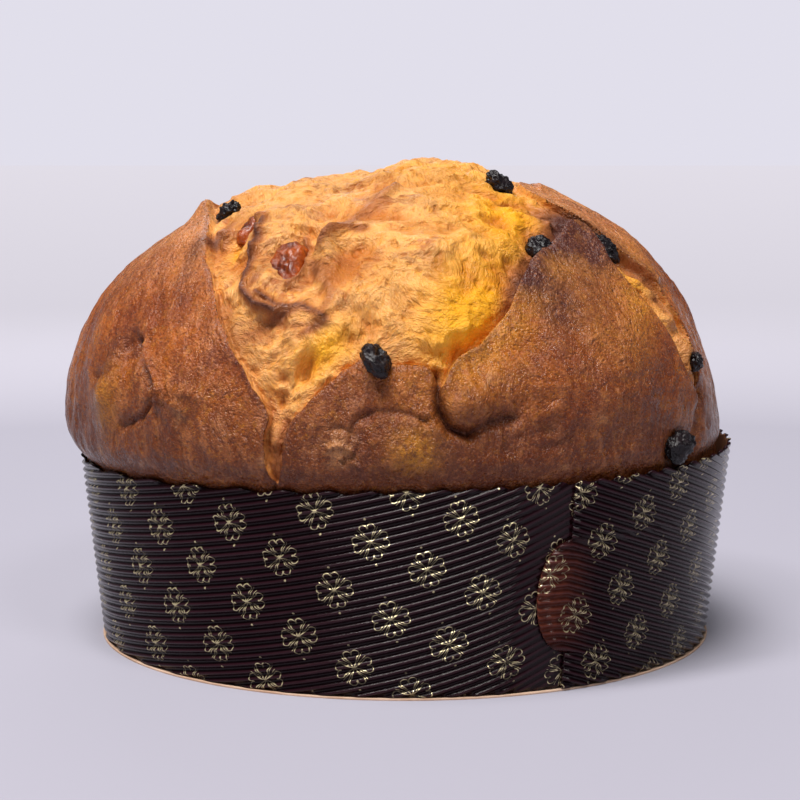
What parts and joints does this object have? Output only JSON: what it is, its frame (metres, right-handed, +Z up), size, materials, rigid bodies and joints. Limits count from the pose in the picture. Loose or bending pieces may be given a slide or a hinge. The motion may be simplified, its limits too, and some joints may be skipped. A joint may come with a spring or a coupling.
{
  "type": "panettone",
  "caption": "Low wide sweet bread with a torn domed crown, raisins and candied peel, in its fluted dark paper case printed with small gold flowers.",
  "frame": {"origin": "middle of the underside of the round base", "axes": "+Z up, -Y towards the front of the loaf as pictured, +X to its right"},
  "size_m": [0.2203, 0.221, 0.1554],
  "materials": {
    "crust": "browned bread crust with a dull gloss, over golden crumb where it has torn",
    "case_paper": "dark brown greaseproof paper with a satin print of gold flowers",
    "base_card": "plain brown card",
    "raisin": "wrinkled and slightly glossy",
    "candied_peel": "glossy, half clear"
  },
  "bodies": {
    "root": {"loaf": "crust", "case_wall": "case_paper", "case_base": "base_card", "raisin_1": "raisin", "raisin_2": "raisin", "raisin_3": "raisin", "raisin_4": "raisin", "raisin_5": "raisin", "raisin_6": "raisin", "raisin_7": "raisin", "raisin_8": "raisin", "raisin_9": "raisin", "raisin_10": "raisin", "raisin_11": "raisin", "raisin_12": "raisin", "peel_1": "candied_peel", "peel_2": "candied_peel", "peel_3": "candied_peel"}
  },
  "joints": []
}
